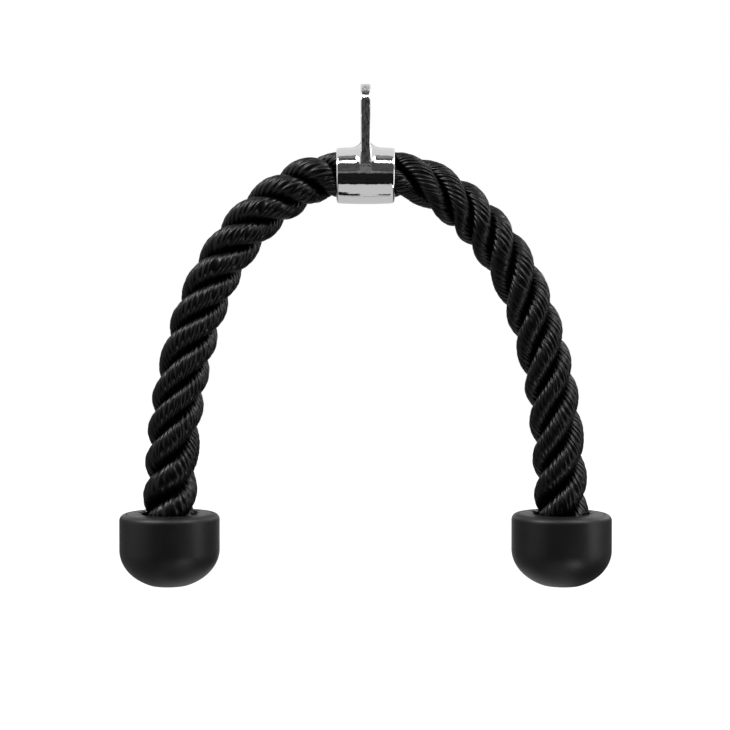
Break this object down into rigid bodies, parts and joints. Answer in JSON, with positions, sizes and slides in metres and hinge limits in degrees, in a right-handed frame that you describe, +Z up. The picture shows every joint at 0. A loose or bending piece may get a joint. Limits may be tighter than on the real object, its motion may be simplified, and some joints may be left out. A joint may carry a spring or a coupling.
{
  "type": "triceps rope attachment",
  "caption": "Thick rope held in a chrome collar with an eye plate, hanging as two bending legs with a domed rubber stopper on each end.",
  "frame": {"origin": "centre of the hole in the eye plate, where a carabiner holds the part", "axes": "+Z up, away from the hanging legs; +X along the collar, through the eye's hole, towards the right leg; -Y is the front"},
  "size_m": [0.3452, 0.07, 0.3502],
  "materials": {
    "chrome": "polished",
    "rope": "laid filament rope with a low gloss",
    "rubber": "matte moulded",
    "steel": "zinc plated",
    "twine": "waxed twine"
  },
  "bodies": {
    "collar": {"collar_eye": "chrome", "rope_centre": "rope"},
    "left_neck": {"rope_left_neck": "rope"},
    "left_upper": {"rope_left_upper": "rope"},
    "left_lower": {"rope_left_lower": "rope", "left_cap_lid": "rubber", "left_cap_shell": "rubber", "left_washer": "steel", "left_ferrule": "steel", "left_end_pin": "steel", "left_whipping": "twine"},
    "right_neck": {"rope_right_neck": "rope"},
    "right_upper": {"rope_right_upper": "rope"},
    "right_lower": {"rope_right_lower": "rope", "right_cap_lid": "rubber", "right_cap_shell": "rubber", "right_washer": "steel", "right_ferrule": "steel", "right_end_pin": "steel", "right_whipping": "twine"}
  },
  "joints": [
    {"name": "left_spread", "type": "hinge", "parent": "collar", "child": "left_neck", "pos_m": [-0.03516, 0, -0.04846], "axis": [0, 1, 0], "range_deg": [-15, 35], "stiffness_Nm_per_rad": 2, "springref_deg": 6.42},
    {"name": "left_sway", "type": "hinge", "parent": "left_neck", "child": "left_upper", "pos_m": [-0.07562, 0, -0.07554], "axis": [-1, 0, 0], "range_deg": [-45, 45], "stiffness_Nm_per_rad": 0.4},
    {"name": "left_flex", "type": "hinge", "parent": "left_upper", "child": "left_lower", "pos_m": [-0.12748, 0, -0.18289], "axis": [0, 1, 0], "range_deg": [-15, 35], "stiffness_Nm_per_rad": 1, "springref_deg": 1.06},
    {"name": "right_spread", "type": "hinge", "parent": "collar", "child": "right_neck", "pos_m": [0.03516, 0, -0.04846], "axis": [0, -1, 0], "range_deg": [-15, 35], "stiffness_Nm_per_rad": 2, "springref_deg": 6.42},
    {"name": "right_sway", "type": "hinge", "parent": "right_neck", "child": "right_upper", "pos_m": [0.07562, 0, -0.07554], "axis": [-1, 0, 0], "range_deg": [-45, 45], "stiffness_Nm_per_rad": 0.4},
    {"name": "right_flex", "type": "hinge", "parent": "right_upper", "child": "right_lower", "pos_m": [0.12748, 0, -0.18289], "axis": [0, -1, 0], "range_deg": [-15, 35], "stiffness_Nm_per_rad": 1, "springref_deg": 1.06}
  ]
}
